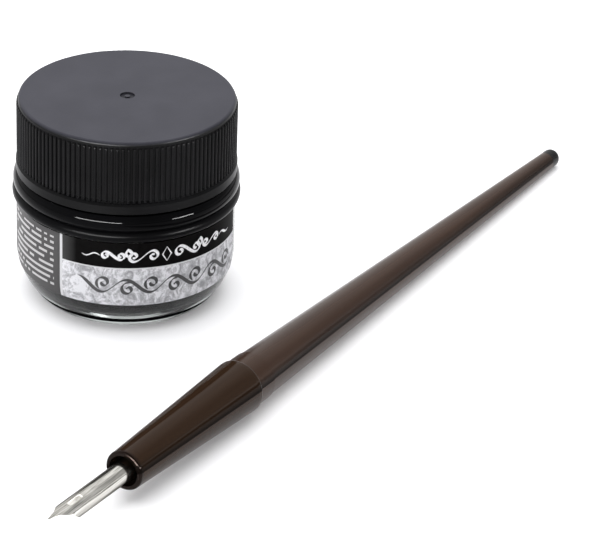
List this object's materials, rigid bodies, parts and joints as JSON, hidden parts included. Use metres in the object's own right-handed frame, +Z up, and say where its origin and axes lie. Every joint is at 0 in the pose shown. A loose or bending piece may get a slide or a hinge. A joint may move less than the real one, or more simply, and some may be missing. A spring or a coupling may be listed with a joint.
{
  "type": "calligraphy set",
  "caption": "Calligraphy set: a round glass ink jar with a ribbed screw cap and a wrap-round label, and a dip pen with a split tube nib in a tapered plastic holder.",
  "frame": {"origin": "centre of the ink jar's flat base, on the table", "axes": "+Z up, +X along the pen from its nib to its tail, and the pen lies on the -Y side of the jar"},
  "size_m": [0.166, 0.0646, 0.0365],
  "materials": {
    "jar_glass": "clear",
    "ink": "black liquid",
    "label_paper": "printed in black and silver grey",
    "cap_plastic": "satin black",
    "liner_board": "plain",
    "grip_plastic": "dark brown, smooth",
    "collet_plastic": "black",
    "nib_steel": "bright rolled steel",
    "shaft_plastic": "dark brown, smooth",
    "plug_plastic": "black"
  },
  "bodies": {
    "jar": {"jar_body": "jar_glass", "ink": "ink", "label": "label_paper"},
    "liner": {"cap_liner": "liner_board"},
    "cap": {"cap_shell": "cap_plastic"},
    "pen": {"pen_grip": "grip_plastic", "nib_collet": "collet_plastic", "pen_shaft": "shaft_plastic", "end_plug": "plug_plastic"},
    "nib": {"nib": "nib_steel"}
  },
  "joints": [
    {"name": "cap_rise", "type": "slide", "parent": "jar", "child": "liner", "axis": [0, 0, 1], "range_m": [0, 0.034]},
    {"name": "cap_turn", "type": "hinge", "parent": "liner", "child": "cap", "pos_m": [0, 0, 0.0365], "axis": [0, 0, 1], "range_deg": [0, 2880]},
    {"name": "pen_lift", "type": "slide", "parent": "jar", "child": "pen", "axis": [0, 0, 1], "range_m": [0, 0.06]},
    {"name": "nib_pull", "type": "slide", "parent": "pen", "child": "nib", "axis": [-0.9996, 0, 0.0273], "range_m": [0, 0.014]}
  ],
  "couplings": [
    {"joint": "cap_rise", "follows": "cap_turn", "m_per_rad": 0.0006737}
  ]
}
